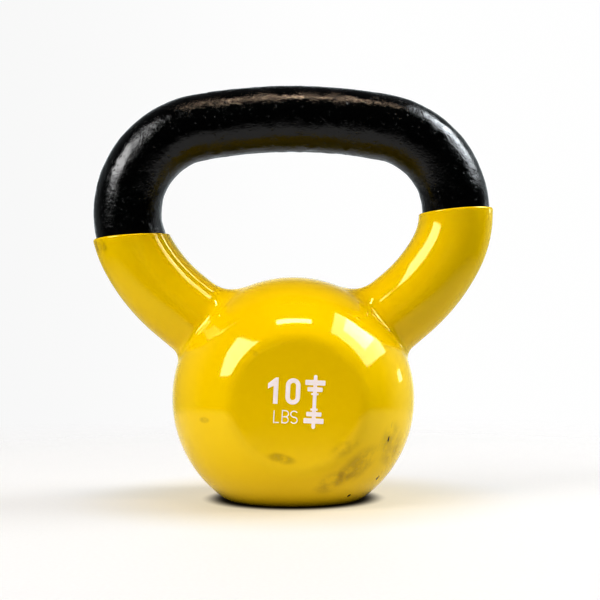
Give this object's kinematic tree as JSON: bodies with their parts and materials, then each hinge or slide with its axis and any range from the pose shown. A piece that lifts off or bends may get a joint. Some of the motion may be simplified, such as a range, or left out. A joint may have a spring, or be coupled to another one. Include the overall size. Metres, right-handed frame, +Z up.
{
  "type": "kettlebell",
  "caption": "Small cast-iron kettlebell with a flat-faced ball, a wide looped black handle and a yellow vinyl-dipped lower body, for one- or two-handed lifting and swinging",
  "frame": {"origin": "centre of the flat base that the kettlebell stands on", "axes": "+Z up through the ball's centre and the top of the handle; +X along the handle's grip, to the right as seen from the printed front; the printed front faces -Y"},
  "size_m": [0.1661, 0.0853, 0.1712],
  "materials": {
    "cast_iron": "matte",
    "black_enamel": "gloss",
    "yellow_vinyl": "gloss",
    "white_ink": "satin"
  },
  "bodies": {
    "root": {"iron_casting": "cast_iron", "enamel_coat": "black_enamel", "vinyl_jacket": "yellow_vinyl", "vinyl_horn_left": "yellow_vinyl", "vinyl_horn_right": "yellow_vinyl", "weight_digits": "white_ink", "unit_letters": "white_ink", "barbell_print": "white_ink"}
  },
  "joints": []
}
